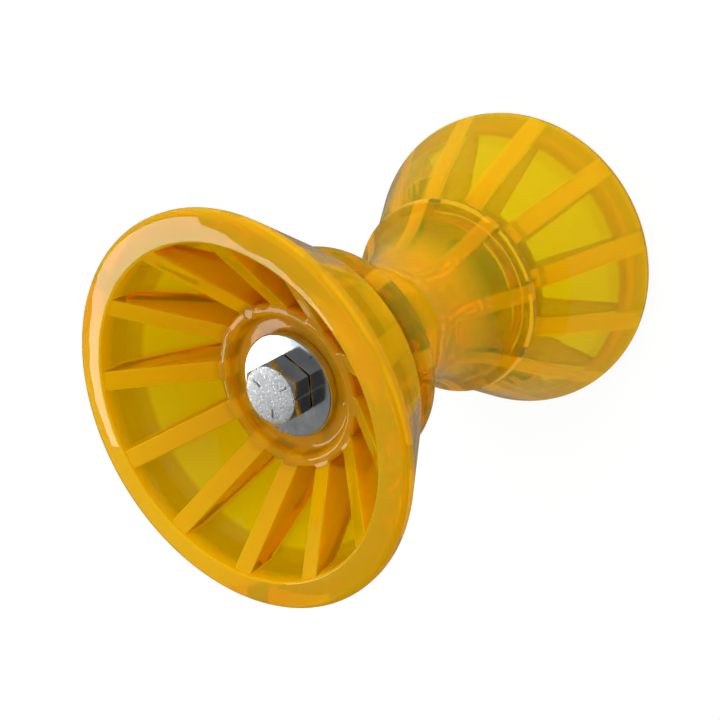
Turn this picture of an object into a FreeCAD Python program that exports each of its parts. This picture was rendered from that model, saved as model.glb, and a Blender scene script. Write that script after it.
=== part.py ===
import FreeCAD, Part
import Sketcher
import math
import os
import re

from FreeCAD import Placement, Rotation, Vector

# Boat trailer roller: a waisted centre roller with a flared bell at each end, all on one bolt.
# The axis is +Z and the roller stands on the lower bell's lip, whose centre is the origin.

doc = FreeCAD.newDocument("boat_trailer_roller")
sheet = doc.addObject("Spreadsheet::Sheet", "Sizes")

# Sizes in millimetres, degrees or counts
SIZES = [
    # Bolt and the clearances round it
    ("bolt_diameter", 12.7, "shank of the 1/2 in bolt"),
    ("bolt_tip_chamfer", 1.2, "bevel at the tip"),
    ("bolt_past_nut", 2.06, "tip beyond the lock nut"),
    ("head_across_flats", 19.05, "hexagon head"),
    ("head_height", 7.94, "head with its bearing face"),
    ("bearing_face_height", 0.4, "round face under the head"),
    ("bearing_face_inset", 0.3, "bearing face inside the flats"),
    ("hex_chamfer_inset", 0.1, "hexagon's end circle inside the flats"),
    ("hex_chamfer_angle", 28.0, "bevel of a hexagon's corners"),
    ("stroke_count", 3, "raised grade strokes"),
    ("stroke_inner_radius", 4.4, "inner end of a stroke"),
    ("stroke_length", 3.3, "length of a stroke"),
    ("stroke_width", 0.7, "width of a stroke"),
    ("stroke_height", 0.25, "height of a stroke"),
    ("turning_clearance", 0.1, "moulding's bore to the bolt, on the radius"),
    ("end_clearance", 0.3, "between faces that turn on each other"),
    # Washers and nut
    ("washer_diameter", 34.9, "flat washer"),
    ("washer_play", 0.8, "washer's hole to the bolt, on the radius"),
    ("washer_thickness", 2.77, "flat washer"),
    ("washer_edge_round", 0.6, "rolled edge of the stamped side"),
    ("nut_across_flats", 19.05, "lock nut"),
    ("nut_hex_height", 11.2, "hexagon of the lock nut"),
    ("nut_height", 15.1, "lock nut with its collar"),
    ("nut_thread_clearance", 0.05, "nut to thread, on the radius"),
    ("insert_height", 2.9, "locking ring"),
    ("insert_wall", 1.1, "locking ring with its clearance, on the radius"),
    ("collar_wall", 1.1, "steel round the locking ring"),
    ("collar_lip", 0.8, "thickness of the steel rolled over the locking ring"),
    ("collar_lip_reach", 0.35, "how far it is rolled in over the ring"),
    # Bell
    ("bell_diameter", 125.0, "across the lip"),
    ("bell_depth", 48.0, "lip to neck face"),
    ("bell_wall", 5.0, "cone wall"),
    ("lip_edge_height", 3.4, "straight rim of the lip"),
    ("lip_round", 2.0, "outer edge of the lip"),
    ("lip_band", 9.5, "width of the lip's flat band"),
    ("lip_inner_round", 0.8, "inner edge of the band"),
    ("pocket_start", 11.0, "lip to the top of the pocket floors"),
    ("shoulder_inset", 17.5, "lip's edge to where the cone turns in, on the radius"),
    ("crown_height", 12.0, "shoulder to neck face"),
    ("shoulder_round", 5.0, "shoulder's outer corner"),
    ("shoulder_bend", 8.6424, "degrees that the crown leans in further than the cone"),
    ("neck_round", 1.5, "neck's outer corner"),
    ("crown_thickness", 5.0, "wall between pockets and neck face"),
    ("pocket_corner_round", 3.0, "inner corner at the bottom of the pockets"),
    ("recess_room", 5.85, "washer's recess round the washer, on the radius"),
    ("recess_depth", 4.3, "hub's front to the washer's seat"),
    ("recess_round", 1.6, "edge of the recess"),
    ("hub_wall", 4.0, "hub round the recess"),
    ("hub_depth", 27.0, "lip to the hub's front"),
    ("hub_round", 1.2, "outer edge of the hub"),
    ("bell_ribs", 12, "ribs round the hub"),
    ("bell_rib_thickness", 6.6, "rib"),
    ("bell_rib_step", 0.1, "rounding of the lip's inner edge to the ribs' tops"),
    ("ejector_mark_diameter", 3.4, "moulding's witness mark on the hub"),
    ("ejector_mark_depth", 0.25, "moulding's witness mark on the hub"),
    # Centre roller
    ("roller_length", 82.4, "face to face"),
    ("roller_end_diameter", 70.4, "end faces"),
    ("crest_width", 8.4, "rounded flange at each end"),
    ("crest_step", 1.8, "end face's edge to the flange's foot, on the radius"),
    ("crest_bulge", 2.4407, "rise of the flange's arc over its chord"),
    ("waist_diameter", 46.0, "middle of the roller"),
    ("roller_wall", 5.0, "wall over the end pockets"),
    ("roller_pocket_depth", 27.0, "depth of each end pocket"),
    ("roller_pocket_round", 2.5, "corner at the bottom of the pockets"),
    ("roller_tube_wall", 4.6, "tube round the bolt"),
    ("roller_ribs", 8, "ribs in each end"),
    ("roller_rib_thickness", 4.6, "rib"),
    ("roller_rib_inset", 1.2, "end face to the ribs' edges"),
    # How the pieces happen to be turned on the axis
    ("upper_bell_turn", -4.7, "a rib of the upper bell, from +X"),
    ("lower_bell_turn", 12.3, "a rib of the lower bell, from +X"),
    ("roller_turn", 23.3, "a rib of the centre roller, from +X"),
    ("bolt_turn", 27.3, "a corner of the head, from +X"),
]
for row, (alias, value, meaning) in enumerate(SIZES, start=1):
    sheet.set("A%d" % row, meaning)
    sheet.set("B%d" % row, str(value))
    sheet.setAlias("B%d" % row, alias)
doc.recompute()
ANY_ALIAS = re.compile(r"\b(%s)\b" % "|".join(alias for alias, value, meaning in SIZES))


def size(expression):
    """The number that an expression in the sheet's names comes to."""
    return float(sheet.evalExpression(expression))


def linked(expression):
    """The same expression as another object writes it, with the sheet's name before each alias."""
    return ANY_ALIAS.sub(r"Sizes.\1", expression)


# Derived heights and radii that more than one piece uses, as expressions in the sheet's names.
BOLT_RADIUS = "bolt_diameter / 2"
BORE_RADIUS = "(bolt_diameter / 2 + turning_clearance)"
SEAT_DEPTH = "(hub_depth + recess_depth)"
OVERALL = "(2 * bell_depth + 2 * end_clearance + roller_length)"
LOWER_WASHER_TOP = "(%s - end_clearance)" % SEAT_DEPTH
NUT_SEAT = "(%s - washer_thickness)" % LOWER_WASHER_TOP
UPPER_WASHER_FOOT = "(%s - %s + end_clearance)" % (OVERALL, SEAT_DEPTH)
HEAD_SEAT = "(%s + washer_thickness)" % UPPER_WASHER_FOOT
BOLT_LENGTH = "(%s - %s + nut_height + bolt_past_nut)" % (HEAD_SEAT, NUT_SEAT)
HEAD_CORNER = "(head_across_flats / sqrt(3))"
NUT_CORNER = "(nut_across_flats / sqrt(3))"


def role(body, name):
    """A plane or axis of the body's own origin, found by its role."""
    return next(item for item in body.Origin.OriginFeatures if item.Role == name)


def new_body(label):
    body = doc.addObject("PartDesign::Body", label)
    body.Label = label
    return body


def new_sketch(body, name, plane="XZ_Plane"):
    sketch = body.newObject("Sketcher::SketchObject", name)
    sketch.AttachmentSupport = [(role(body, plane), "")]
    sketch.MapMode = "FlatFace"
    return sketch


def pin_point(sketch, geometry, end, across, along):
    """Hold one end of a sketch line at a place given by two expressions."""
    for kind, expression in (("DistanceX", across), ("DistanceY", along)):
        number = sketch.addConstraint(Sketcher.Constraint(kind, geometry, end, size(expression)))
        sketch.setExpression("Constraints[%d]" % number, linked(expression))


def draw_outline(sketch, corners):
    """Closed outline through corners (across, along), or (across, along, radius) where an arc that
    bulges to the left of the way round leads on to the next corner."""
    spots = [Vector(size(corner[0]), size(corner[1]), 0) for corner in corners]
    starts = []
    ends = []
    for index, corner in enumerate(corners):
        start = spots[index]
        end = spots[(index + 1) % len(spots)]
        if len(corner) == 2:
            starts.append((sketch.addGeometry(Part.LineSegment(start, end)), 1))
            ends.append((starts[-1][0], 2))
            continue
        bulges_left = not corner[2].startswith("right ")
        radius = corner[2].replace("right ", "")
        chord = end - start
        left = Vector(-chord.y, chord.x, 0).normalize()
        reach = math.sqrt(size(radius) ** 2 - (chord.Length / 2) ** 2)
        centre = (start + end) * 0.5 + left * (-reach if bulges_left else reach)
        circle = Part.Circle(centre, Vector(0, 0, 1), size(radius))
        first, last = (end, start) if bulges_left else (start, end)
        arc = Part.ArcOfCircle(circle, circle.parameter(first), circle.parameter(last))
        number = sketch.addGeometry(arc)
        starts.append((number, 2 if bulges_left else 1))
        ends.append((number, 1 if bulges_left else 2))
        held = sketch.addConstraint(Sketcher.Constraint("Radius", number, size(radius)))
        sketch.setExpression("Constraints[%d]" % held, linked(radius))
    for index, corner in enumerate(corners):
        pin_point(sketch, starts[index][0], starts[index][1], corner[0], corner[1])
        following = starts[(index + 1) % len(corners)]
        sketch.addConstraint(Sketcher.Constraint("Coincident", *ends[index], *following))
    return sketch


def draw_hexagon(sketch, corner_radius):
    """Hexagon with a corner on the sketch's first axis."""
    corners = []
    for index in range(6):
        turn = 60 * index
        corners.append((corner_radius + " * cos(%d deg)" % turn, corner_radius + " * sin(%d deg)" % turn))
    return draw_outline(sketch, corners)


def turned(body, name, corners, cut=False):
    """Ring or shaft swept round the axis from an outline of radius and height."""
    sketch = draw_outline(new_sketch(body, name + "_section"), corners)
    feature = body.newObject("PartDesign::Groove" if cut else "PartDesign::Revolution", name)
    feature.Profile = sketch
    feature.ReferenceAxis = (sketch, ["V_Axis"])
    feature.Angle = 360
    sketch.Visibility = False
    doc.recompute()
    return feature


def polar(body, name, feature, count):
    """Copies of a feature spread evenly round the axis."""
    pattern = body.newObject("PartDesign::PolarPattern", name)
    pattern.Originals = [feature]
    pattern.Axis = (role(body, "Z_Axis"), [""])
    pattern.Angle = 360
    pattern.setExpression("Occurrences", linked(count))
    body.Tip = pattern
    doc.recompute()
    return pattern


def rib_ring(body, name, corners, thickness, count):
    """Flat radial ribs of even thickness."""
    sketch = draw_outline(new_sketch(body, name + "_section"), corners)
    rib = body.newObject("PartDesign::Pad", name)
    rib.Profile = sketch
    rib.SideType = "Symmetric"
    rib.setExpression("Length", linked(thickness))
    doc.recompute()
    return polar(body, name + "_ring", rib, count)


def rounded(body, name, radius, height, rounding):
    """Round the circular edge of the body's last feature at a radius and height."""
    base = body.Tip
    names = []
    for number, edge in enumerate(base.Shape.Edges, start=1):
        curve = edge.Curve
        if isinstance(curve, Part.Circle) and abs(curve.Axis.z) > 0.999:
            if abs(curve.Radius - size(radius)) < 0.01 and abs(curve.Center.z - size(height)) < 0.01:
                names.append("Edge%d" % number)
    fillet = body.newObject("PartDesign::Fillet", name)
    fillet.Base = (base, names)
    fillet.setExpression("Radius", linked(rounding))
    body.Tip = fillet
    doc.recompute()
    return fillet


def lift(sketch, height):
    """Hold a level sketch at a height above the body's origin."""
    sketch.setExpression("AttachmentOffset.Base.z", linked(height))
    doc.recompute()


def draw_circle(sketch, across, radius):
    """Circle centred on the sketch's first axis."""
    centre = Vector(size(across), 0, 0)
    number = sketch.addGeometry(Part.Circle(centre, Vector(0, 0, 1), size(radius)))
    pin_point(sketch, number, 3, across, "0")
    held = sketch.addConstraint(Sketcher.Constraint("Radius", number, size(radius)))
    sketch.setExpression("Constraints[%d]" % held, linked(radius))
    return sketch


def raised(body, name, sketch, height):
    """Block pushed up from a level outline."""
    pad = body.newObject("PartDesign::Pad", name)
    pad.Profile = sketch
    pad.setExpression("Length", linked(height))
    body.Tip = pad
    doc.recompute()
    return pad


def place(body, height, turn="0", upside_down=False):
    """Stand a sub-part on the axis at a height, turned about it."""
    flip = Rotation(Vector(1, 0, 0), 180 if upside_down else 0)
    spin = Rotation(Vector(0, 0, 1), size(turn))
    body.Placement = Placement(Vector(0, 0, size(height)), spin.multiply(flip))
    body.setExpression("Placement.Base.z", linked(height))
    return body


# The bell's outline. The cone wall climbs from the lip's rim to the shoulder, and the crown leans in
# further from there to the neck's face.
RIB_TOP_RADIUS = "(bell_diameter / 2 - lip_band)"
RIB_TOP_DEPTH = "(lip_inner_round + bell_rib_step)"
SHOULDER_RADIUS = "(bell_diameter / 2 - shoulder_inset)"
SHOULDER_HEIGHT = "(bell_depth - crown_height)"
CONE_SLOPE = "(shoulder_inset / (%s - lip_edge_height))" % SHOULDER_HEIGHT
CROWN_SLOPE = "tan(atan(%s) + shoulder_bend * 1 deg)" % CONE_SLOPE
NECK_RADIUS = "(%s - crown_height * %s)" % (SHOULDER_RADIUS, CROWN_SLOPE)
POCKET_BOTTOM = "(bell_depth - crown_thickness)"
RECESS_RADIUS = "(washer_diameter / 2 + recess_room)"
HUB_RADIUS = "(%s + hub_wall)" % RECESS_RADIUS


def cone_inside(height):
    """Radius of the cone wall's inner face, one wall inside the line from rim to shoulder."""
    across = "bell_wall * sqrt(1 + %s ^ 2)" % CONE_SLOPE
    return "(bell_diameter / 2 - %s - (%s - lip_edge_height) * %s)" % (across, height, CONE_SLOPE)


POCKET_FLOOR = "(%s - %s)" % (cone_inside(POCKET_BOTTOM), HUB_RADIUS)


def make_bell(label):
    """One moulding, lip down: cone wall, crown, hub with the washer's recess, and ribs."""
    body = new_body(label)
    turned(body, "shell", [
        (BORE_RADIUS, "bell_depth"),
        (BORE_RADIUS, SEAT_DEPTH),
        (RECESS_RADIUS, SEAT_DEPTH),
        (RECESS_RADIUS, "hub_depth"),
        (HUB_RADIUS, "hub_depth"),
        (HUB_RADIUS, POCKET_BOTTOM),
        (cone_inside(POCKET_BOTTOM), POCKET_BOTTOM),
        (cone_inside("pocket_start"), "pocket_start"),
        (RIB_TOP_RADIUS, "0"),
        ("bell_diameter / 2", "0"),
        ("bell_diameter / 2", "lip_edge_height"),
        (SHOULDER_RADIUS, SHOULDER_HEIGHT),
        (NECK_RADIUS, "bell_depth"),
    ])
    for name, radius, height, rounding in [
        ("pocket_corner", cone_inside(POCKET_BOTTOM), POCKET_BOTTOM,
         "min(pocket_corner_round; %s)" % POCKET_FLOOR),
        ("shoulder", SHOULDER_RADIUS, SHOULDER_HEIGHT, "shoulder_round"),
        ("neck", NECK_RADIUS, "bell_depth", "neck_round"),
        ("lip_edge", "bell_diameter / 2", "0", "lip_round"),
        ("lip_inside", RIB_TOP_RADIUS, "0", "lip_inner_round"),
        ("hub_edge", HUB_RADIUS, "hub_depth", "hub_round"),
        ("recess_edge", RECESS_RADIUS, "hub_depth", "recess_round"),
    ]:
        rounded(body, name, radius, height, rounding)
    # A rib runs from inside the hub's wall to inside the cone wall, and down into the crown.
    rib_root = "((%s + %s) / 2)" % (HUB_RADIUS, RECESS_RADIUS)
    rib_foot = "(%s + crown_thickness / 2)" % POCKET_BOTTOM
    rib_ring(body, "rib", [
        (rib_root, "hub_depth + hub_round"),
        (HUB_RADIUS, "hub_depth"),
        (RIB_TOP_RADIUS, RIB_TOP_DEPTH),
        (RIB_TOP_RADIUS + " + lip_band / 3", RIB_TOP_DEPTH),
        (cone_inside("pocket_start") + " + bell_wall / 2", "pocket_start"),
        (cone_inside(SHOULDER_HEIGHT) + " + bell_wall / 2", SHOULDER_HEIGHT),
        (cone_inside(POCKET_BOTTOM), rib_foot),
        (rib_root, rib_foot),
    ], "bell_rib_thickness", "bell_ribs")
    mark = new_sketch(body, "ejector_mark_outline", "XY_Plane")
    lift(mark, "hub_depth")
    draw_circle(mark, "(%s + recess_round + %s - hub_round) / 2" % (RECESS_RADIUS, HUB_RADIUS),
                "ejector_mark_diameter / 2")
    sunk = body.newObject("PartDesign::Pocket", "ejector_mark")
    sunk.Profile = mark
    sunk.Reversed = True
    sunk.setExpression("Length", linked("ejector_mark_depth"))
    body.Tip = sunk
    doc.recompute()
    return body


# The centre roller's flange is an arc at each end. Its waist is one arc from flange to flange, and
# the end pockets follow it.
CREST_FOOT = "(roller_end_diameter / 2 + crest_step)"
CREST_CHORD = "sqrt(crest_width ^ 2 + crest_step ^ 2)"
CREST_ROUND = "(((%s / 2) ^ 2 + crest_bulge ^ 2) / (2 * crest_bulge))" % CREST_CHORD
WAIST_DROP = "(%s - waist_diameter / 2)" % CREST_FOOT
WAIST_HALF = "(roller_length / 2 - crest_width)"
WAIST_ROUND = "((%s ^ 2 + %s ^ 2) / (2 * %s))" % (WAIST_DROP, WAIST_HALF, WAIST_DROP)
TUBE_RADIUS = "(%s + roller_tube_wall)" % BORE_RADIUS


def roller_inside(depth):
    """Radius of an end pocket's outer wall at a depth below the end face."""
    return "(waist_diameter / 2 + %s - sqrt((%s + roller_wall) ^ 2 - (roller_length / 2 - %s) ^ 2))" % (
        WAIST_ROUND, WAIST_ROUND, depth)


def make_centre_roller():
    """One moulding: waisted body with a rounded flange and a ribbed pocket at each end."""
    body = new_body("centre_roller")
    turned(body, "waisted_body", [
        (BORE_RADIUS, "0"),
        ("roller_end_diameter / 2", "0", "right " + CREST_ROUND),
        (CREST_FOOT, "crest_width", WAIST_ROUND),
        (CREST_FOOT, "roller_length - crest_width", "right " + CREST_ROUND),
        ("roller_end_diameter / 2", "roller_length"),
        (BORE_RADIUS, "roller_length"),
    ])
    mouth = roller_inside("crest_width")
    floor = roller_inside("roller_pocket_depth")
    for end, height in (("lower", "%s"), ("upper", "(roller_length - %s)")):
        bulge = "right " if end == "upper" else ""
        turned(body, end + "_pocket", [
            (TUBE_RADIUS, height % "(0 - end_clearance)"),
            (mouth, height % "(0 - end_clearance)"),
            (mouth, height % "crest_width", bulge + "(%s + roller_wall)" % WAIST_ROUND),
            (floor, height % "roller_pocket_depth"),
            (TUBE_RADIUS, height % "roller_pocket_depth"),
        ], cut=True)
        rounded(body, end + "_pocket_corner", floor, height % "roller_pocket_depth", "roller_pocket_round")
    for end, height in (("lower", "%s"), ("upper", "(roller_length - %s)")):
        tube_wall = "(%s - roller_tube_wall / 2)" % TUBE_RADIUS
        rib_foot = "(roller_pocket_depth + roller_pocket_round)"
        rib_ring(body, end + "_rib", [
            (tube_wall, height % "roller_rib_inset"),
            (mouth + " + roller_wall / 2", height % "roller_rib_inset"),
            (mouth + " + roller_wall / 2", height % "crest_width"),
            (roller_inside("(crest_width + roller_pocket_depth) / 2") + " + roller_wall / 2",
             height % "((crest_width + roller_pocket_depth) / 2)"),
            (floor + " + roller_wall / 2", height % "roller_pocket_depth"),
            (floor, height % rib_foot),
            (tube_wall, height % rib_foot),
        ], "roller_rib_thickness", "roller_ribs")
    return body


def bevel_corners(body, name, flats, corner, face, inward):
    """Turn the corners of a hexagon's end down to a cone."""
    outside = "(1.1 * %s)" % corner
    start = "(%s / 2 - hex_chamfer_inset)" % flats
    return turned(body, name, [
        (start, face),
        (outside, face + " %s (%s - %s) * tan(hex_chamfer_angle)" % (inward, outside, start)),
        (outside, face),
    ], cut=True)


def make_hex_bolt():
    """Bolt with its head up, standing on the underside of the head."""
    body = new_body("hex_bolt")
    face = "head_across_flats / 2 - bearing_face_inset"
    turned(body, "shank", [
        ("0", "0 - " + BOLT_LENGTH),
        (BOLT_RADIUS + " - bolt_tip_chamfer", "0 - " + BOLT_LENGTH),
        (BOLT_RADIUS, "bolt_tip_chamfer - " + BOLT_LENGTH),
        (BOLT_RADIUS, "0"),
        (face, "0"),
        (face, "bearing_face_height"),
        ("0", "bearing_face_height"),
    ])
    outline = new_sketch(body, "hexagon", "XY_Plane")
    lift(outline, "bearing_face_height")
    raised(body, "head", draw_hexagon(outline, HEAD_CORNER), "head_height - bearing_face_height")
    bevel_corners(body, "head_bevel", "head_across_flats", HEAD_CORNER, "head_height", "-")
    outline = new_sketch(body, "stroke_outline", "XY_Plane")
    lift(outline, "head_height")
    draw_outline(outline, [
        ("stroke_inner_radius", "0 - stroke_width / 2"),
        ("stroke_inner_radius + stroke_length", "0 - stroke_width / 2"),
        ("stroke_inner_radius + stroke_length", "stroke_width / 2"),
        ("stroke_inner_radius", "stroke_width / 2"),
    ])
    stroke = raised(body, "stroke", outline, "stroke_height")
    polar(body, "strokes", stroke, "stroke_count")
    return body


WASHER_BORE = "(bolt_diameter / 2 + washer_play)"


def make_washer(label):
    """Stamped flat washer, rolled edge up."""
    body = new_body(label)
    turned(body, "ring", [
        (WASHER_BORE, "0"),
        ("washer_diameter / 2", "0"),
        ("washer_diameter / 2", "washer_thickness"),
        (WASHER_BORE, "washer_thickness"),
    ])
    rounded(body, "rolled_edge", "washer_diameter / 2", "washer_thickness", "washer_edge_round")
    return body


INSERT_SEAT = "(nut_height - collar_lip - insert_height)"
INSERT_RADIUS = "(bolt_diameter / 2 + nut_thread_clearance + insert_wall)"
COLLAR_RADIUS = "(%s + collar_wall)" % INSERT_RADIUS


def make_lock_nut():
    """Lock nut standing on its bearing face, with its collar up."""
    body = new_body("lock_nut")
    raised(body, "hexagon_block", draw_hexagon(new_sketch(body, "hexagon", "XY_Plane"), NUT_CORNER),
           "nut_hex_height")
    for name, face, inward in (("lower_bevel", "0", "+"), ("upper_bevel", "nut_hex_height", "-")):
        bevel_corners(body, name, "nut_across_flats", NUT_CORNER, face, inward)
    turned(body, "collar", [
        (BOLT_RADIUS, "nut_hex_height / 2"),
        (COLLAR_RADIUS, "nut_hex_height / 2"),
        (COLLAR_RADIUS, "nut_height - collar_wall"),
        (INSERT_RADIUS, "nut_height"),
        (BOLT_RADIUS, "nut_height"),
    ])
    hole = "(%s + nut_thread_clearance)" % BOLT_RADIUS
    mouth = "(%s - collar_lip_reach)" % INSERT_RADIUS
    turned(body, "thread_hole", [
        ("0", "0 - collar_lip"),
        (hole, "0 - collar_lip"),
        (hole, INSERT_SEAT),
        (INSERT_RADIUS, INSERT_SEAT),
        (INSERT_RADIUS, "nut_height - collar_lip"),
        (mouth, "nut_height - collar_lip"),
        (mouth, "nut_height + collar_lip"),
        ("0", "nut_height + collar_lip"),
    ], cut=True)
    return body


def make_nut_insert():
    """Locking ring, a hair clear of its groove all round."""
    body = new_body("nut_insert")
    inner = "(%s + nut_thread_clearance)" % BOLT_RADIUS
    outer = "(%s - nut_thread_clearance)" % INSERT_RADIUS
    turned(body, "ring", [
        (inner, INSERT_SEAT),
        (outer, INSERT_SEAT),
        (outer, "nut_height - collar_lip"),
        (inner, "nut_height - collar_lip"),
    ])
    return body


pieces = [
    place(make_bell("lower_bell"), "0", "lower_bell_turn"),
    place(make_centre_roller(), "(bell_depth + end_clearance)", "roller_turn"),
    place(make_bell("upper_bell"), OVERALL, "upper_bell_turn", upside_down=True),
    place(make_washer("head_washer"), UPPER_WASHER_FOOT),
    place(make_hex_bolt(), HEAD_SEAT, "bolt_turn"),
    place(make_washer("nut_washer"), LOWER_WASHER_TOP, upside_down=True),
    place(make_lock_nut(), NUT_SEAT, "bolt_turn", upside_down=True),
    place(make_nut_insert(), NUT_SEAT, "bolt_turn", upside_down=True),
]
doc.recompute()

for item in doc.Objects:
    if "Invalid" in item.State or "Error" in item.State:
        raise RuntimeError("%s did not compute: %s" % (item.Name, item.State))
os.makedirs("parts", exist_ok=True)
for piece in pieces:
    if piece.Shape.isNull() or not piece.Shape.isValid() or len(piece.Shape.Solids) != 1:
        raise RuntimeError("%s is not one sound solid" % piece.Label)
for piece in pieces:
    piece.Shape.exportStep("parts/%s.step" % piece.Label)
    box = piece.Shape.BoundBox
    print("%-14s volume %9.1f  z %7.2f to %7.2f" % (piece.Label, piece.Shape.Volume, box.ZMin, box.ZMax))
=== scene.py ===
from math import asin, atan2, cos, pi, radians, sin, sqrt, tan

import bmesh
import bpy
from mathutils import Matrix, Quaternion, Vector


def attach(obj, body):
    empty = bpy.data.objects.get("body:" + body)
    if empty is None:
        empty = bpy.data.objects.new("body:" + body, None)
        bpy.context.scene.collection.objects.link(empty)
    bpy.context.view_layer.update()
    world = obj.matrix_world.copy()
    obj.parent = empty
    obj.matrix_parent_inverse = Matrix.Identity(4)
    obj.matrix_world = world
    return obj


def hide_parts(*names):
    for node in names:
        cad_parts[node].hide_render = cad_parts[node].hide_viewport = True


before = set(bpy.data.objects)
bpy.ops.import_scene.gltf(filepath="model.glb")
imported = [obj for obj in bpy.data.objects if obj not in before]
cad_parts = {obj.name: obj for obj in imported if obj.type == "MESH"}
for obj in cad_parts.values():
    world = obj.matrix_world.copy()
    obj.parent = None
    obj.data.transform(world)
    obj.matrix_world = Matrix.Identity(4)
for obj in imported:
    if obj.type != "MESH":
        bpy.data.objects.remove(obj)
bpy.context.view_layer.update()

# Boat trailer roller. Sizes are in millimetres until a mesh is made, then in metres.
MM = 0.001

# The photograph's view: where the camera stands, the line it looks along and its roll.
CAMERA_PLACE = Vector((0.0, -225.7, 372.0))
CAMERA_LOOK = Vector((-0.01326, 0.65845, -0.75250))
CAMERA_ROLL = radians(-120.44)
CAMERA_LENS = 50.26
SENSOR_WIDTH = 36.0

# Bolt
BOLT_RADIUS = 6.35
TIP_HEIGHT = 11.07
HEAD_SEAT = 150.77
TIP_CHAMFER = 1.2
SHANK_RINGS = (0.5, 0.75)
SHANK_TOP = 5.0
THREAD_PITCH = 1.954
THREAD_DEPTH = 1.05
THREAD_LENGTH = 31.75
THREAD_RUNOUT = 2.5
THREAD_CREST = 0.12
THREAD_FLANK = 0.62
HEAD_FLATS = 19.05
HEAD_HEIGHT = 7.94
HEAD_CORNER_ROUND = 0.35
HEAD_EDGE_ROUND = 0.22
HEAD_FILLET = 0.3
HEAD_TOP_RINGS = (6.0, 3.0, 0.0)
BEVEL_CIRCLE = 9.425
BEVEL_SLOPE = tan(radians(28))
BEVEL_EASE = 0.4
BEARING_RADIUS = 9.225
BEARING_HEIGHT = 0.4
BEARING_ROUND = 0.1
STROKE_START = 4.4
STROKE_LENGTH = 3.3
STROKE_WIDTH = 0.7
STROKE_HEIGHT = 0.25
STROKES = 3
STROKE_END_STEPS = 6
# Rings of a stroke from its foot up, each as how far it is drawn in and its height
STROKE_RINGS = ((0.0, -0.15), (0.0, 0.11), (0.25, 0.22), (0.5, STROKE_HEIGHT))
BOLT_TURN = 27.3
BOLT_COLUMNS = 96
STEPS_A_PITCH = 14

# Bell, lip down
BORE = 6.45
BORE_ROUND = 0.3
BELL_RADIUS = 62.5
BELL_DEPTH = 48.0
BELL_WALL = 5.0
LIP_EDGE_HEIGHT = 3.4
LIP_EDGE_ROUND = 1.0
LIP_BAND = 9.5
LIP_ROUND = 2.0
LIP_INNER_ROUND = 0.8
POCKET_START = 11.0
POCKET_BOTTOM = 43.0
POCKET_ROUND = 3.0
POCKET_START_ROUND = 1.2
SHOULDER_RADIUS = 45.0
SHOULDER_HEIGHT = 36.0
SHOULDER_ROUND = 5.0
NECK_RADIUS = 36.0
NECK_ROUND = 1.5
HUB_RADIUS = 27.3
HUB_DEPTH = 27.0
HUB_ROUND = 1.2
HUB_ROOT = 1.0
MARK_RADIUS = 25.5
MARK_SIZE = 1.7
MARK_DEPTH = 0.25
RECESS_RADIUS = 23.3
RECESS_ROUND = 1.6
SEAT_ROUND = 2.0
SEAT_DEPTH = 31.3
RIB_TOP_RADIUS = BELL_RADIUS - LIP_BAND
RIB_TOP_DEPTH = 0.9
BELL_RIBS = 12
BELL_RIB_HALF = 3.3
BELL_RIB_EDGE = 0.5
BELL_RIB_ROOT = 1.0
BELL_RIB_START_SLOPE = 0.1
CONE_SLOPE = (BELL_RADIUS - SHOULDER_RADIUS) / (SHOULDER_HEIGHT - LIP_EDGE_HEIGHT)

# Centre roller
ROLLER_FOOT = 48.3
ROLLER_LENGTH = 82.4
ROLLER_END = 35.2
CREST_WIDTH = 8.4
CREST_FOOT = 37.0
CREST_ROUND = 5.0
WAIST = 23.0
ROLLER_WALL = 5.0
ROLLER_POCKET = 27.0
ROLLER_POCKET_ROUND = 2.5
ROLLER_WALL_DEPTHS = (23.0, 19.0, 15.5, 12.0)
ROLLER_END_ROUND = 0.5
ROLLER_TUBE = 11.05
ROLLER_TUBE_ROOT = 1.5
ROLLER_RIBS = 8
ROLLER_RIB_HALF = 2.3
ROLLER_RIB_EDGE = 0.4
ROLLER_RIB_ROOT = 0.9
ROLLER_RIB_INSET = 1.2
WAIST_DROP = CREST_FOOT - WAIST
WAIST_HALF = ROLLER_LENGTH / 2 - CREST_WIDTH
WAIST_ROUND = (WAIST_DROP ** 2 + WAIST_HALF ** 2) / (2 * WAIST_DROP)

# Over both lips
OVERALL = 179.0

# How the pieces happen to be turned on the axis, in degrees
UPPER_BELL_TURN = -4.7
LOWER_BELL_TURN = 12.3
ROLLER_TURN = 23.3


def rounded_path(corners, steps=6):
    """Points (radius, height) along a line through corners (radius, height, rounding)."""
    points = []
    for index, (across, up, rounding) in enumerate(corners):
        here = Vector((across, up))
        if rounding == 0 or index in (0, len(corners) - 1):
            points.append(tuple(here))
            continue
        back = (Vector(corners[index - 1][:2]) - here).normalized()
        on = (Vector(corners[index + 1][:2]) - here).normalized()
        half = back.angle(on) / 2
        centre = here + (back + on).normalized() * (rounding / sin(half))
        start = here + back * (rounding / tan(half)) - centre
        end = here + on * (rounding / tan(half)) - centre
        points += swept(centre, start, end, steps)
    return points


def swept(centre, start, end, steps):
    """Points round a centre from one arm to another."""
    turn = atan2(start.x * end.y - start.y * end.x, start.dot(end))
    points = []
    for step in range(steps + 1):
        angle = turn * step / steps
        across = start.x * cos(angle) - start.y * sin(angle)
        up = start.x * sin(angle) + start.y * cos(angle)
        points.append((centre.x + across, centre.y + up))
    return points


def arc_path(start, end, radius, steps, bulge=1):
    """Points along an arc between two points, bulging right (1) or left (-1) of the way along it."""
    start = Vector(start)
    end = Vector(end)
    chord = end - start
    right = Vector((chord.y, -chord.x)).normalized()
    reach = sqrt(radius ** 2 - (chord.length / 2) ** 2)
    centre = (start + end) / 2 - right * (reach * bulge)
    return swept(centre, start - centre, end - centre, steps)


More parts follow.
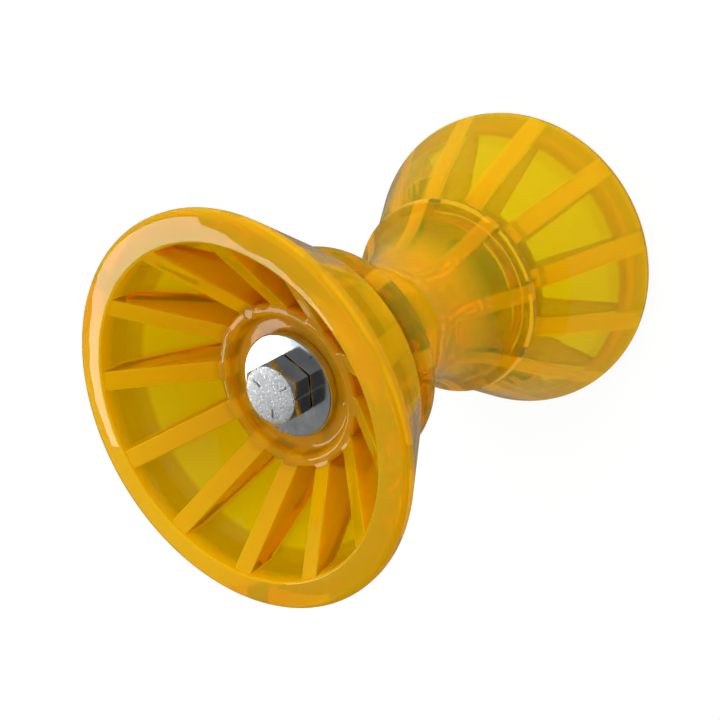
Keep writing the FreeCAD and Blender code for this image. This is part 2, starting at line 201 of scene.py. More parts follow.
def divided(path, longest):
    """The same path with long runs cut into shorter ones."""
    points = [path[0]]
    for start, end in zip(path, path[1:]):
        parts = max(1, round((Vector(end) - Vector(start)).length / longest))
        points += [tuple(Vector(start).lerp(Vector(end), part / parts)) for part in range(1, parts + 1)]
    return points


class Columns:
    """Angles round a ribbed moulding, close together where a rib's edges and roots are rounded."""

    def __init__(self, ribs, half_width, edge_round, root_round):
        self.half_sector = pi / ribs
        self.half_width = half_width
        self.edge = edge_round
        self.root = root_round
        half = [("top", 0.0), ("top", 0.5), ("edge", 0.0), ("edge", 0.25), ("edge", 0.5), ("edge", 0.75),
                ("wall", 0.0), ("wall", 0.33), ("wall", 0.67), ("root", 0.0), ("root", 0.25), ("root", 0.5),
                ("root", 0.75), ("floor", 0.0), ("floor", 0.12), ("floor", 0.3), ("floor", 0.5),
                ("floor", 0.75), ("floor", 1.0)]
        one_rib = [item + (-1,) for item in reversed(half[1:-1])] + [item + (1,) for item in half]
        self.all = [(rib * 2 * self.half_sector,) + item for rib in range(ribs) for item in one_rib]

    def angle(self, column, radius):
        """Angle of a column where the moulding has that radius."""
        centre, kind, share, side = column
        if kind == "floor":
            start = asin((self.half_width + self.root) / radius)
            return centre + side * (start + (self.half_sector - start) * share)
        if kind == "top":
            across = (self.half_width - self.edge) * share
        elif kind == "edge":
            across = self.half_width - self.edge * (1 - sin(share * pi / 2))
        elif kind == "wall":
            across = self.half_width
        else:
            across = self.half_width + self.root * (1 - cos(share * pi / 2))
        return centre + side * asin(across / radius)

    def sink(self, column, depth):
        """How far a column has gone down from a rib's top to the pocket's floor, from 0 to 1."""
        kind, share = column[1:3]
        if kind == "floor":
            return 1.0
        if kind == "top" or depth < 1e-6:
            return 0.0
        fit = min(1.0, depth / (self.edge + self.root))
        edge = self.edge * fit
        root = self.root * fit
        if kind == "edge":
            return edge * (1 - cos(share * pi / 2)) / depth
        if kind == "wall":
            return (edge + (depth - edge - root) * share) / depth
        return (depth - root * (1 - sin(share * pi / 2))) / depth


def ribbed_rows(columns, stations):
    """Rows of points from stations (pocket point, rib point, radius that sets the angle or None)."""
    rows = []
    for column in columns.all:
        row = []
        for pocket, rib, angle_radius in stations:
            low = Vector(pocket)
            high = Vector(rib)
            place = high.lerp(low, columns.sink(column, (low - high).length))
            turn = columns.angle(column, angle_radius or place.x)
            row.append((place.x * cos(turn), place.x * sin(turn), place.y))
        rows.append(row)
    return rows


def plain_stretch(path, angle_radius):
    """Stations of a turned face, with no ribs in it."""
    return [(point, point, angle_radius) for point in path]


def ribbed_stretch(pocket_path, rib_height, slide=0.12):
    """Stations where ribs stand: the pocket's path, each point beside one on the ribs' edge."""
    first = pocket_path[0][0]
    last = pocket_path[-1][0]
    stations = []
    for index, (radius, height) in enumerate(pocket_path):
        even = first + (last - first) * index / (len(pocket_path) - 1)
        across = radius + (even - radius) * slide
        stations.append(((radius, height), (across, rib_height(across)), None))
    return stations


def grid_faces(count, length, closed):
    """Quads between neighbouring rows round the axis."""
    faces = []
    for index in range(count):
        beside = (index + 1) % count
        for step in range(length if closed else length - 1):
            after = (step + 1) % length
            faces.append((index * length + step, beside * length + step,
                          beside * length + after, index * length + after))
    return faces


# Edges that turn by more degrees than this stay sharp
CREASE = 34
BOLT_CREASE = 40


def finished_object(name, verts, faces, crease=CREASE):
    """Object with welded points, outward faces and smooth shading between sharp edges."""
    mesh = bpy.data.meshes.new(name)
    mesh.from_pydata([tuple(value * MM for value in vert) for vert in verts], [], faces)
    work = bmesh.new()
    work.from_mesh(mesh)
    bmesh.ops.remove_doubles(work, verts=work.verts, dist=2e-6)
    bmesh.ops.recalc_face_normals(work, faces=work.faces)
    work.to_mesh(mesh)
    work.free()
    mesh.shade_smooth()
    mesh.set_sharp_from_angle(angle=radians(crease))
    piece = bpy.data.objects.new(name, mesh)
    bpy.context.scene.collection.objects.link(piece)
    return piece


def lathe_object(name, rows):
    """Object whose rows of points, round the axis, each close on themselves."""
    verts = [point for row in rows for point in row]
    return finished_object(name, verts, grid_faces(len(rows), len(rows[0]), True))


def set_on_axis(piece, height, turn=0.0, upside_down=False):
    """Stand a piece on the axis at a height in millimetres, turned about it."""
    flip = Quaternion((1, 0, 0), pi if upside_down else 0)
    spin = Quaternion((0, 0, 1), radians(turn))
    matrix = (spin @ flip).to_matrix().to_4x4()
    matrix.translation = Vector((0, 0, height * MM))
    piece.data.transform(matrix)
    return piece


def dress(piece, body, node, material):
    """The piece rides on its body, takes its slot and stands for its CAD node."""
    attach(piece, body)
    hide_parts(node)
    piece.data.materials.append(material)


def cone_inside(height):
    """Radius of the bell's cone wall on the inside, at a height above the lip."""
    across = BELL_WALL * sqrt(1 + CONE_SLOPE ** 2)
    return BELL_RADIUS - across - (height - LIP_EDGE_HEIGHT) * CONE_SLOPE


def bell_rib_height(radius):
    """Height of a bell rib's top edge, from the hub's front out to the lip."""
    inner = HUB_RADIUS - HUB_ROUND
    if radius <= inner:
        return HUB_DEPTH
    straight = HUB_DEPTH + (RIB_TOP_DEPTH - HUB_DEPTH) * (radius - HUB_RADIUS) / (RIB_TOP_RADIUS - HUB_RADIUS)
    return min(HUB_DEPTH - BELL_RIB_START_SLOPE * (radius - inner), max(RIB_TOP_DEPTH, straight))


def make_bell(name):
    """Bell, lip down: bore, washer's recess, hub, ribbed pockets, lip, cone wall, shoulder and neck."""
    columns = Columns(BELL_RIBS, BELL_RIB_HALF, BELL_RIB_EDGE, BELL_RIB_ROOT)
    hub = rounded_path([
        (BORE, BELL_DEPTH, 0), (BORE, SEAT_DEPTH, BORE_ROUND), (RECESS_RADIUS, SEAT_DEPTH, SEAT_ROUND),
        (RECESS_RADIUS, HUB_DEPTH, RECESS_ROUND), (HUB_RADIUS - HUB_ROUND, HUB_DEPTH, 0)])
    pocket = rounded_path([
        (RECESS_RADIUS, HUB_DEPTH, 0), (HUB_RADIUS, HUB_DEPTH, HUB_ROUND),
        (HUB_RADIUS, POCKET_BOTTOM, HUB_ROOT), (cone_inside(POCKET_BOTTOM), POCKET_BOTTOM, POCKET_ROUND),
        (cone_inside(POCKET_START), POCKET_START, POCKET_START_ROUND),
        (RIB_TOP_RADIUS, RIB_TOP_DEPTH, 0)])[1:]
    outside = rounded_path([
        (RIB_TOP_RADIUS, RIB_TOP_DEPTH, 0), (RIB_TOP_RADIUS, 0, LIP_INNER_ROUND), (BELL_RADIUS, 0, LIP_ROUND),
        (BELL_RADIUS, LIP_EDGE_HEIGHT, LIP_EDGE_ROUND), (SHOULDER_RADIUS, SHOULDER_HEIGHT, SHOULDER_ROUND),
        (NECK_RADIUS, BELL_DEPTH, NECK_ROUND), (BORE, BELL_DEPTH, 0)])[1:-1]
    stations = plain_stretch(divided(hub, longest=6.0)[:-1], HUB_RADIUS)
    stations += ribbed_stretch(divided(pocket, longest=2.0), bell_rib_height)
    stations += plain_stretch(divided(outside, longest=4.0), RIB_TOP_RADIUS)
    return sink_mark(lathe_object(name, ribbed_rows(columns, stations)))


def sink_mark(piece):
    """The ejector pin's round mark, sunk into the front of a bell's hub."""
    work = bmesh.new()
    bmesh.ops.create_cone(work, cap_ends=True, segments=48, radius1=MARK_SIZE * MM, radius2=MARK_SIZE * MM,
                          depth=2 * MARK_DEPTH * MM)
    bmesh.ops.translate(work, verts=work.verts, vec=(MARK_RADIUS * MM, 0, HUB_DEPTH * MM))
    mesh = bpy.data.meshes.new("ejector_pin")
    work.to_mesh(mesh)
    work.free()
    pin = bpy.data.objects.new("ejector_pin", mesh)
    bpy.context.scene.collection.objects.link(pin)
    cut = piece.modifiers.new("mark", "BOOLEAN")
    cut.operation = "DIFFERENCE"
    cut.solver = "EXACT"
    cut.object = pin
    cut_mesh = bpy.data.meshes.new_from_object(piece.evaluated_get(bpy.context.evaluated_depsgraph_get()))
    piece.modifiers.remove(cut)
    piece.data = cut_mesh
    piece.data.shade_smooth()
    piece.data.set_sharp_from_angle(angle=radians(CREASE))
    bpy.data.objects.remove(pin)
    return piece


def roller_inside(depth):
    """Radius of the roller's end pockets' outer wall, at a depth below the end face."""
    return WAIST + WAIST_ROUND - sqrt((WAIST_ROUND + ROLLER_WALL) ** 2 - (ROLLER_LENGTH / 2 - depth) ** 2)


def make_centre_roller(name):
    """Waisted body with a rounded flange and a ribbed pocket at each end, standing on its lower face."""
    columns = Columns(ROLLER_RIBS, ROLLER_RIB_HALF, ROLLER_RIB_EDGE, ROLLER_RIB_ROOT)
    mouth = roller_inside(CREST_WIDTH)
    floor = roller_inside(ROLLER_POCKET)
    wall = [(roller_inside(depth), depth, 0) for depth in ROLLER_WALL_DEPTHS]
    pocket = rounded_path([
        (ROLLER_TUBE, ROLLER_RIB_INSET, 0), (ROLLER_TUBE, ROLLER_POCKET, ROLLER_TUBE_ROOT),
        (floor, ROLLER_POCKET, ROLLER_POCKET_ROUND)] + wall
        + [(mouth, CREST_WIDTH, 0), (mouth, ROLLER_RIB_INSET, 0)])
    crest = arc_path((ROLLER_END, 0), (CREST_FOOT, CREST_WIDTH), CREST_ROUND, steps=10)
    waist = arc_path((CREST_FOOT, CREST_WIDTH), (WAIST, ROLLER_LENGTH / 2), WAIST_ROUND, steps=12, bulge=-1)
    tube_end = rounded_path([(BORE, ROLLER_LENGTH / 2, 0), (BORE, 0, BORE_ROUND),
                             (ROLLER_TUBE, 0, ROLLER_END_ROUND), (ROLLER_TUBE, ROLLER_RIB_INSET, 0)])
    wall_end = rounded_path([(mouth, ROLLER_RIB_INSET, 0), (mouth, 0, ROLLER_END_ROUND), (ROLLER_END, 0, 0)])
    lower = plain_stretch(divided(tube_end, longest=8.0)[:-1], ROLLER_TUBE)
    lower += ribbed_stretch(divided(pocket, longest=1.8), lambda radius: ROLLER_RIB_INSET)
    lower += plain_stretch(divided(wall_end[1:-1] + crest[:-1] + waist, longest=4.0), mouth)
    upper = []
    for low, high, angle_radius in reversed(lower[1:-1]):
        upper.append(((low[0], ROLLER_LENGTH - low[1]), (high[0], ROLLER_LENGTH - high[1]), angle_radius))
    return lathe_object(name, ribbed_rows(columns, lower + upper))


def hexagon_radius(turn):
    """Distance from the axis to the hexagon's side in a direction, its corners slightly rounded."""
    flat = HEAD_FLATS / 2
    from_corner = (turn + pi / 6) % (pi / 3) - pi / 6
    round_centre = (flat - HEAD_CORNER_ROUND) / cos(pi / 6)
    on_flat = flat / cos(pi / 6 - abs(from_corner))
    beside = round_centre * sin(from_corner)
    on_corner = round_centre * cos(from_corner) + sqrt(max(0.0, HEAD_CORNER_ROUND ** 2 - beside ** 2))
    return min(on_flat, on_corner)


def thread_radius(turn, height):
    """Radius of the threaded shank at an angle and a height above the bolt's tip."""
    phase = (height / THREAD_PITCH - turn / (2 * pi)) % 1.0
    groove = min(1.0, max(0.0, (abs(phase - 0.5) * 2 - THREAD_CREST) / THREAD_FLANK))
    runout = min(1.0, (THREAD_LENGTH - height) / THREAD_RUNOUT)
    chamfer = BOLT_RADIUS - max(0.0, TIP_CHAMFER - height)
    return min(BOLT_RADIUS - THREAD_DEPTH * groove * runout, chamfer)


def make_bolt(name):
    """Hexagon head bolt with a rolled thread, standing on its tip at the origin."""
    rows = []
    seat = HEAD_SEAT - TIP_HEIGHT
    top = seat + HEAD_HEIGHT
    thread_steps = round(THREAD_LENGTH / (THREAD_PITCH / STEPS_A_PITCH))
    for column in range(BOLT_COLUMNS):
        turn = 2 * pi * column / BOLT_COLUMNS
        corner = hexagon_radius(turn)
        ease = (corner - BEVEL_CIRCLE) * BEVEL_EASE
        profile = [(0.0, 0.0)]
        for step in range(thread_steps + 1):
            height = THREAD_LENGTH * step / thread_steps
            profile.append((thread_radius(turn, height), height))
        profile += [(BOLT_RADIUS, seat * share) for share in SHANK_RINGS]
        profile += rounded_path([
            (BOLT_RADIUS, seat - SHANK_TOP, 0), (BOLT_RADIUS, seat, HEAD_FILLET),
            (BEARING_RADIUS, seat, BEARING_ROUND), (BEARING_RADIUS, seat + BEARING_HEIGHT, 0),
            (corner, seat + BEARING_HEIGHT, BEARING_ROUND),
            (corner, top - (corner - BEVEL_CIRCLE) * BEVEL_SLOPE, min(HEAD_EDGE_ROUND, ease)),
            (BEVEL_CIRCLE, top, ease)] + [(ring, top, 0) for ring in HEAD_TOP_RINGS], steps=4)
        rows.append([(radius * cos(turn), radius * sin(turn), height) for radius, height in profile])
    verts = [point for row in rows for point in row]
    faces = grid_faces(len(rows), len(rows[0]), False)
    for index in range(STROKES):
        add_stroke(verts, faces, 2 * pi * index / STROKES, top)
    return finished_object(name, verts, faces, BOLT_CREASE)


def add_stroke(verts, faces, turn, level):
    """A raised radial stroke on the head, with round ends and eased edges."""
    half = STROKE_WIDTH / 2
    outline = []
    for end, middle in ((1, STROKE_START + STROKE_LENGTH - half), (-1, STROKE_START + half)):
        for step in range(STROKE_END_STEPS + 1):
            angle = pi * (step / STROKE_END_STEPS - 0.5)
            outline.append((middle, end * half * cos(angle), end * half * sin(angle)))
    start = len(verts)
    count = len(outline)
    last = len(STROKE_RINGS) - 1
    for shrink, height in STROKE_RINGS:
        for middle, along, aside in outline:
            x = middle + along * (1 - shrink)
            y = aside * (1 - shrink)
            verts.append((x * cos(turn) - y * sin(turn), x * sin(turn) + y * cos(turn), level + height))
    for ring in range(last):
        for index in range(count):
            beside = (index + 1) % count
            faces.append((start + ring * count + index, start + ring * count + beside,
                          start + (ring + 1) * count + beside, start + (ring + 1) * count + index))
    faces.append(tuple(start + last * count + index for index in range(count)))
    faces.append(tuple(start + count - 1 - index for index in range(count)))


def math_node(tree, operation, *values):
    """Number that a Math node makes of sockets or numbers."""
    made = tree.nodes.new("ShaderNodeMath")
    made.operation = operation
    for index, value in enumerate(values):
        if isinstance(value, bpy.types.NodeSocket):
            tree.links.new(value, made.inputs[index])
        else:
            made.inputs[index].default_value = value
    return made.outputs[0]


class Recipe:
    """A material's nodes, made and joined one after another."""

    def __init__(self, name):
        self.material = bpy.data.materials.new(name)
        self.material.use_nodes = True
        self.tree = self.material.node_tree
        self.tree.nodes.clear()
        self.output = self.tree.nodes.new("ShaderNodeOutputMaterial")
        self.coordinates = self.tree.nodes.new("ShaderNodeTexCoord").outputs["Object"]

    def node(self, kind, inputs=(), **settings):
        """Node with these settings, and inputs that are linked or set."""
        made = self.tree.nodes.new(kind)
        for key, value in settings.items():
            setattr(made, key, value)
        for key, value in dict(inputs).items():
            if isinstance(value, bpy.types.NodeSocket):
                self.tree.links.new(value, made.inputs[key])
            else:
                made.inputs[key].default_value = value
        return made

    def noise(self, scale, detail=3.0, roughness=0.5):
        made = self.node("ShaderNodeTexNoise", {
            "Vector": self.coordinates, "Scale": scale, "Detail": detail, "Roughness": roughness})
        return made.outputs["Fac"]

    def ramp(self, value, low, high, low_out=0.0, high_out=1.0):
        """Number that goes from low_out to high_out while a value goes from low to high, and stays there."""
        made = self.node("ShaderNodeMapRange", {
            "Value": value, "From Min": low, "From Max": high, "To Min": low_out, "To Max": high_out})
        return made.outputs["Result"]

    def blend(self, share, first, second):
        """Colour that goes from the first to the second as the share goes from 0 to 1."""
        made = self.node("ShaderNodeMix", {"Factor": share, 6: first, 7: second}, data_type="RGBA")
        return made.outputs[2]

    def bump(self, height, distance, strength=1.0, normal=None):
        inputs = {"Height": height, "Distance": distance, "Strength": strength}
        if normal:
            inputs["Normal"] = normal
        return self.node("ShaderNodeBump", inputs).outputs["Normal"]

    def past(self, value, edge, fade, low_out=0.0, high_out=1.0):
        """Ramp over a fade, which starts and ends at distances in millimetres from an edge."""
        start, end = fade
        return self.ramp(value, (edge + start) * MM, (edge + end) * MM, low_out, high_out)

    def math(self, operation, *values):
        return math_node(self.tree, operation, *values)

    def finish(self, shader, volume=None):
        self.tree.links.new(shader.outputs[0], self.output.inputs["Surface"])
        if volume:
            self.tree.links.new(volume.outputs[0], self.output.inputs["Volume"])
        return self.material


def colour(red, green, blue):
    """Linear colour from sRGB numbers of 0 to 255."""
    def linear(value):
        value /= 255
        return value / 12.92 if value <= 0.04045 else ((value + 0.055) / 1.055) ** 2.4
    return (linear(red), linear(green), linear(blue), 1.0)


# Light. Each level is what one kind of ray meets, where 1 is white, which is what the camera meets.
# Diffuse rays and rays through the amber meet an even sky. Gloss meets a dimmer one, dimmest on one side.
SKY_DIFFUSE = 0.95
SKY_GLASS = 0.8
SKY_GLOSS_LOW = 0.15
SKY_GLOSS_HIGH = 0.22
SKY_GLOSS_SIDE = 0.25
# Where the gloss sky changes, by the Z and the X of a ray's direction
SKY_RISE = (0.12, 0.5)
SKY_SIDE = (-0.45, -0.1)
FLOOR_GLASS = 0.55
FLOOR_GLOSS = 0.2
# Share of the floor that is plainly white to the camera. The rest is paint, which keeps the shadow.
FLOOR_WHITE = 0.88
FLOOR_PAINT = 0.95
FLOOR_REACH = 3.0

# Most of a noise's values lie between these.
NOISE_LOW = 0.3
NOISE_HIGH = 0.7

# Amber: its tints are sRGB. The darker orange one is painted shade, laid on the hub and on the end walls by
# the lip.
THICK_TINT = (240, 188, 0)
THIN_TINT = (250, 226, 0)
ROLLER_TINT = (249, 186, 0)
PAINTED_SHADE_TINT = (205, 150, 0)
PAINTED_SHADE_SHARE = 0.7
HUB_PAINTED_SHADE = 0.65
CLOUD_SHARE = 0.12
CLEAR_THICK = 0.5
CLEAR_THIN = 0.8
SHINE_TINT = (1.0, 0.95, 0.85, 1.0)
GLOW_REACH = (1.0, 0.4, 0.02)
GLOW_SCALE = 0.006
ABSORPTION = (0.998, 0.955, 0.0, 1.0)
ABSORPTION_DENSITY = 600.0
AMBER_IOR = 1.5
AMBER_ROUGHNESS = 0.02
AMBER_RIPPLE = 0.7

# Where a wall turns thin, or takes painted shade: the start and end of each fade, in millimetres from an edge
RIB_FADE = (0.1, 1.2)
HUB_FADE = (0.3, 3.0)
LIP_FADE = (1.5, 5.5)
OUTSIDE_FADE = (-3.0, -0.5)
OUTSIDE_SHARE = 0.6
HUB_SHADE_FADE = (0.0, 1.5)
END_WALL_SHADE_FADE = (15.0, 16.5)
SOLID_FADE = (-3.0, 10.0)

# Zinc: its tints are sRGB.
ZINC_TINTS = ((196, 202, 206), (214, 216, 216))
HEAD_SPANGLE = 0.8
HEAD_ROUGHNESS = 0.3
HEAD_SIDE_ROUGHNESS = 0.1
PLATE_SPANGLE = 0.04
PLATE_ROUGHNESS = 0.13

# Nylon
NYLON_TINTS = ((226, 222, 208), (238, 235, 224))
NYLON_ROUGHNESS = (0.4, 0.55)


def between_ribs(recipe, ribs, half_width, turn, hub_radius):
    """1 where a wall is thin between ribs, 0 on ribs and hub, and each place's radius and height."""
    across, aside, height = recipe.node("ShaderNodeSeparateXYZ", {0: recipe.coordinates}).outputs
    square = recipe.math("ADD", recipe.math("MULTIPLY", across, across), recipe.math("MULTIPLY", aside, aside))
    radius = recipe.math("SQRT", square)
    angle = recipe.math("SUBTRACT", recipe.math("ARCTAN2", aside, across), radians(turn))
    from_middle = recipe.math("PINGPONG", angle, pi / ribs)
    from_rib = recipe.math("MULTIPLY", radius, recipe.math("SINE", from_middle))
    between = recipe.past(from_rib, half_width, RIB_FADE)
    past_hub = recipe.past(radius, hub_radius, HUB_FADE)
    return recipe.math("MULTIPLY", between, past_hub), radius, height


def bell_parts(recipe, turn, upside_down):
    """Where a bell is thin, on its cone between the ribs, and where it takes painted shade, at its hub and end
    walls.
    """
    between, radius, height = between_ribs(recipe, BELL_RIBS, BELL_RIB_HALF, turn, HUB_RADIUS)
    if upside_down:
        height = recipe.math("SUBTRACT", OVERALL * MM, height)
    past_lip = recipe.past(height, 0, LIP_FADE)
    # Radius at the lip of the cone through a place, which is largest on the outside
    reach = recipe.math("ADD", radius, recipe.math("MULTIPLY", height, CONE_SLOPE))
    inside = recipe.past(reach, BELL_RADIUS, OUTSIDE_FADE, 1.0, OUTSIDE_SHARE)
    thin = recipe.math("MULTIPLY", between, recipe.math("MULTIPLY", past_lip, inside))
    # Painted shade on the hub, fading out just past its edge
    hub = recipe.past(radius, HUB_RADIUS, HUB_SHADE_FADE, HUB_PAINTED_SHADE, 0.0)
    # Painted shade on the thin end walls of the pockets, near the lip
    near_lip = recipe.past(height, 0, END_WALL_SHADE_FADE, 1.0, 0.0)
    return thin, recipe.math("MAXIMUM", hub, recipe.math("MULTIPLY", thin, near_lip))


def roller_parts(recipe, turn):
    """Where the roller is thin, outside its end pockets between their ribs. It takes no painted shade."""
    between, radius, height = between_ribs(recipe, ROLLER_RIBS, ROLLER_RIB_HALF, turn, ROLLER_TUBE)
    from_middle = recipe.math("ABSOLUTE", recipe.math("SUBTRACT", height, OVERALL / 2 * MM))
    past_solid = recipe.past(from_middle, ROLLER_LENGTH / 2 - ROLLER_POCKET, SOLID_FADE)
    return recipe.math("MULTIPLY", between, past_solid), None


def amber(name, thick_tint, parts, *place):
    """Glossy amber moulding: thick parts glow a cloudy orange, thin walls are clearer and yellower, and
    painted shade darkens a bell's hub and end walls.
    """
    recipe = Recipe(name)
    cloud = recipe.noise(scale=28.0, detail=2.0)
    mottle = recipe.noise(scale=160.0, detail=3.0)
    thin, painted_shade = parts(recipe, *place)
    cloudy = recipe.ramp(cloud, NOISE_LOW, NOISE_HIGH, 0.0, CLOUD_SHARE)
    tint = recipe.blend(cloudy, colour(*thick_tint), colour(*THIN_TINT))
    tint = recipe.blend(thin, tint, colour(*THIN_TINT))
    # Painted shade: a darker orange tint laid over the hub and the end walls by the lip
    if painted_shade is not None:
        tint = recipe.blend(recipe.math("MULTIPLY", painted_shade, PAINTED_SHADE_SHARE), tint, colour(*PAINTED_SHADE_TINT))
    # Light that is inside the amber leaves it freely, so the back of a face is wholly clear.
    inner_side = recipe.node("ShaderNodeNewGeometry").outputs["Backfacing"]
    clear = recipe.math("MAXIMUM", recipe.ramp(thin, 0.0, 1.0, CLEAR_THICK, CLEAR_THIN), inner_side)
    ripple = recipe.bump(cloud, distance=0.0012, strength=AMBER_RIPPLE)
    skin = recipe.bump(mottle, distance=0.00006, strength=0.5, normal=ripple)
    roughness = recipe.ramp(mottle, NOISE_LOW, NOISE_HIGH, AMBER_ROUGHNESS * 0.8, AMBER_ROUGHNESS * 1.3)
    shader = recipe.node("ShaderNodeBsdfPrincipled", {
        "Base Color": tint, "Roughness": roughness, "IOR": AMBER_IOR, "Transmission Weight": clear,
        "Specular Tint": SHINE_TINT, "Subsurface Weight": 1.0, "Subsurface Radius": GLOW_REACH,
        "Subsurface Scale": GLOW_SCALE, "Normal": skin})
    volume = recipe.node("ShaderNodeVolumeAbsorption", {"Color": ABSORPTION, "Density": ABSORPTION_DENSITY})
    return recipe.finish(shader, volume)


def zinc(name, spangle, face_roughness, side_roughness):
    """Bright zinc plate: spangled and duller on the faces square to the bolt, smoother on the sides."""
    recipe = Recipe(name)
    facing = recipe.node("ShaderNodeNewGeometry").outputs["True Normal"]
    upright = recipe.node("ShaderNodeSeparateXYZ", {0: facing}).outputs["Z"]
    grain = recipe.node("ShaderNodeTexVoronoi", {"Vector": recipe.coordinates, "Scale": 1500.0})
    speck = recipe.noise(scale=900.0, detail=3.0, roughness=0.6)
    cast = recipe.noise(scale=120.0, detail=2.0)
    dark_tint, pale_tint = ZINC_TINTS
    base = recipe.blend(recipe.ramp(cast, 0.35, 0.65), colour(*dark_tint), colour(*pale_tint))
    relief = recipe.bump(speck, distance=0.00005, strength=spangle)
    relief = recipe.bump(grain.outputs["Distance"], distance=0.00003, strength=spangle, normal=relief)
    dull = recipe.ramp(speck, NOISE_LOW, NOISE_HIGH, face_roughness * 0.7, face_roughness * 1.4)
    side = recipe.math("LESS_THAN", recipe.math("ABSOLUTE", upright), 0.5)
    face = recipe.math("SUBTRACT", 1.0, side)
    roughness = recipe.math("ADD", recipe.math("MULTIPLY", side, side_roughness),
                            recipe.math("MULTIPLY", face, dull))
    shader = recipe.node("ShaderNodeBsdfPrincipled", {
        "Base Color": base, "Metallic": 1.0, "Roughness": roughness, "Normal": relief})
    return recipe.finish(shader)


def nylon(name):
    """Off-white nylon, slightly mottled."""
    recipe = Recipe(name)
    cast = recipe.noise(scale=300.0, detail=2.0)
    dark_tint, pale_tint = NYLON_TINTS
    base = recipe.blend(recipe.ramp(cast, NOISE_LOW, NOISE_HIGH), colour(*dark_tint), colour(*pale_tint))
    shader = recipe.node("ShaderNodeBsdfPrincipled", {
        "Base Color": base, "Roughness": recipe.ramp(cast, NOISE_LOW, NOISE_HIGH, *NYLON_ROUGHNESS),
        "Normal": recipe.bump(cast, distance=0.00004)})
    return recipe.finish(shader)


def make_floor():
    """Pale floor: white to the camera with a faint shadow, and dimmer in gloss and through the amber."""
    mesh = bpy.data.meshes.new("floor")
    corners = [(x * FLOOR_REACH, y * FLOOR_REACH, 0) for x, y in ((-1, -1), (1, -1), (1, 1), (-1, 1))]
    mesh.from_pydata(corners, [], [(0, 1, 2, 3)])
    floor = bpy.data.objects.new("floor", mesh)
    bpy.context.scene.collection.objects.link(floor)
    recipe = Recipe("floor_white")
    path = recipe.node("ShaderNodeLightPath").outputs
    camera = path["Is Camera Ray"]
    mirrored = recipe.math("MULTIPLY", path["Is Glossy Ray"], path["Is Reflection Ray"])
    through = path["Is Transmission Ray"]
    level = recipe.math("MAXIMUM", recipe.math("MULTIPLY", mirrored, FLOOR_GLOSS),
                        recipe.math("MULTIPLY", through, FLOOR_GLASS))
    level = recipe.math("MAXIMUM", level, camera)
    share = recipe.math("MAXIMUM", recipe.math("MULTIPLY", camera, FLOOR_WHITE),
                        recipe.math("MAXIMUM", mirrored, through))
    paint = recipe.node("ShaderNodeBsdfDiffuse", {"Color": (FLOOR_PAINT, FLOOR_PAINT, FLOOR_PAINT, 1.0)})
    glow = recipe.node("ShaderNodeEmission", {"Color": (1.0, 1.0, 1.0, 1.0), "Strength": level})
    mix = recipe.node("ShaderNodeMixShader", {"Fac": share, 1: paint.outputs[0], 2: glow.outputs[0]})
    floor.data.materials.append(recipe.finish(mix))


def make_world():
    """White to the camera, and the sky's own level to every other kind of ray."""
    world = bpy.data.worlds.new("studio")
    world.use_nodes = True
    tree = world.node_tree
    back = tree.nodes["Background"]
    back.inputs["Color"].default_value = (1.0, 1.0, 1.0, 1.0)
    direction = tree.nodes.new("ShaderNodeSeparateXYZ")
    tree.links.new(tree.nodes.new("ShaderNodeTexCoord").outputs["Generated"], direction.inputs[0])

    def rising(axis, start, end, low, high):
        made = tree.nodes.new("ShaderNodeMapRange")
        for key, value in {"From Min": start, "From Max": end, "To Min": low, "To Max": high}.items():
            made.inputs[key].default_value = value
        tree.links.new(direction.outputs[axis], made.inputs["Value"])
        return made.outputs["Result"]

    gloss = math_node(tree, "MULTIPLY", rising("Z", *SKY_RISE, SKY_GLOSS_LOW, SKY_GLOSS_HIGH),
                      rising("X", *SKY_SIDE, SKY_GLOSS_SIDE, 1.0))
    path = tree.nodes.new("ShaderNodeLightPath").outputs
    level = path["Is Camera Ray"]
    for ray, light in (("Is Glossy Ray", gloss), ("Is Transmission Ray", SKY_GLASS),
                       ("Is Diffuse Ray", SKY_DIFFUSE)):
        level = math_node(tree, "MAXIMUM", level, math_node(tree, "MULTIPLY", path[ray], light))
    tree.links.new(level, back.inputs["Strength"])
    bpy.context.scene.world = world


def make_lamp(name, place, width, height, power, mirrored=False):
    """Soft light that faces the middle of the roller, and shows as a reflection only if mirrored."""
    lamp = bpy.data.lights.new(name, "AREA")
    lamp.shape = "RECTANGLE"
    lamp.size = width
    lamp.size_y = height
    lamp.energy = power
    stand = bpy.data.objects.new(name, lamp)
    stand.location = place
    aim = Vector((0, 0, OVERALL / 2 * MM)) - Vector(place)
    stand.rotation_euler = aim.to_track_quat("-Z", "Y").to_euler()
    stand.visible_camera = False
    stand.visible_glossy = mirrored
    stand.visible_transmission = False
    bpy.context.scene.collection.objects.link(stand)


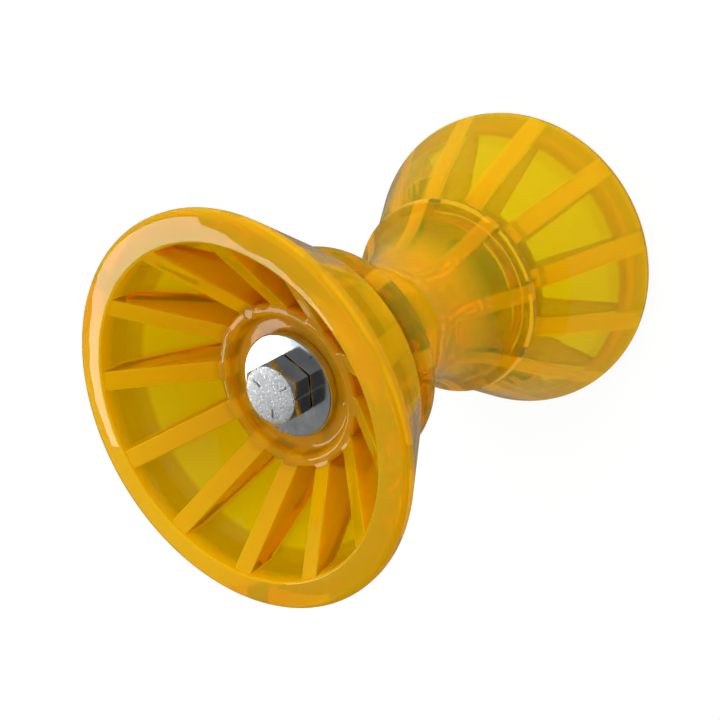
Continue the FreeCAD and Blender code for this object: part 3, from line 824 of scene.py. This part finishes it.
def make_camera():
    """The photograph's view."""
    camera = bpy.data.objects.new("camera", bpy.data.cameras.new("camera"))
    camera.data.sensor_width = SENSOR_WIDTH
    camera.data.lens = CAMERA_LENS
    camera.data.clip_start = 0.01
    camera.location = CAMERA_PLACE * MM
    camera.rotation_mode = "QUATERNION"
    camera.rotation_quaternion = CAMERA_LOOK.to_track_quat("-Z", "Y") @ Quaternion((0, 0, 1), CAMERA_ROLL)
    bpy.context.scene.collection.objects.link(camera)
    bpy.context.scene.camera = camera


upper_amber = amber("amber_upper_bell", THICK_TINT, bell_parts, UPPER_BELL_TURN, True)
lower_amber = amber("amber_lower_bell", THICK_TINT, bell_parts, LOWER_BELL_TURN, False)
roller_amber = amber("amber_roller", ROLLER_TINT, roller_parts, ROLLER_TURN)
head_zinc = zinc("zinc_head", HEAD_SPANGLE, HEAD_ROUGHNESS, HEAD_SIDE_ROUGHNESS)
washer_zinc = zinc("zinc_washer_plate", PLATE_SPANGLE, PLATE_ROUGHNESS, PLATE_ROUGHNESS)
locking_nylon = nylon("nylon_locking_ring")

upper_bell = set_on_axis(make_bell("upper_bell_moulding"), OVERALL, UPPER_BELL_TURN, True)
dress(upper_bell, "top_bell", "upper_bell", upper_amber)
lower_bell = set_on_axis(make_bell("lower_bell_moulding"), 0, LOWER_BELL_TURN)
dress(lower_bell, "bottom_bell", "lower_bell", lower_amber)
roller = set_on_axis(make_centre_roller("waisted_roller_moulding"), ROLLER_FOOT, ROLLER_TURN)
dress(roller, "roller", "centre_roller", roller_amber)
bolt = set_on_axis(make_bolt("threaded_bolt"), TIP_HEIGHT, BOLT_TURN)
dress(bolt, "bolt_set", "hex_bolt", head_zinc)

# These pieces keep their CAD meshes and only take a material.
for node, material in (("head_washer", washer_zinc), ("nut_washer", washer_zinc), ("lock_nut", head_zinc),
                       ("nut_insert", locking_nylon)):
    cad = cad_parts[node]
    cad.data.materials.clear()
    cad.data.materials.append(material)

make_floor()
make_world()
make_lamp("key_light", (0.75, -0.35, 0.45), width=1.0, height=1.0, power=7.0)
make_lamp("top_light", (-0.3, 0.1, 1.1), width=0.7, height=0.7, power=0.8)
make_lamp("back_light", (0.1915, 0.668, 0.7374), width=0.34, height=0.2, power=0.8, mirrored=True)
make_camera()
bpy.context.scene.view_settings.view_transform = "Standard"
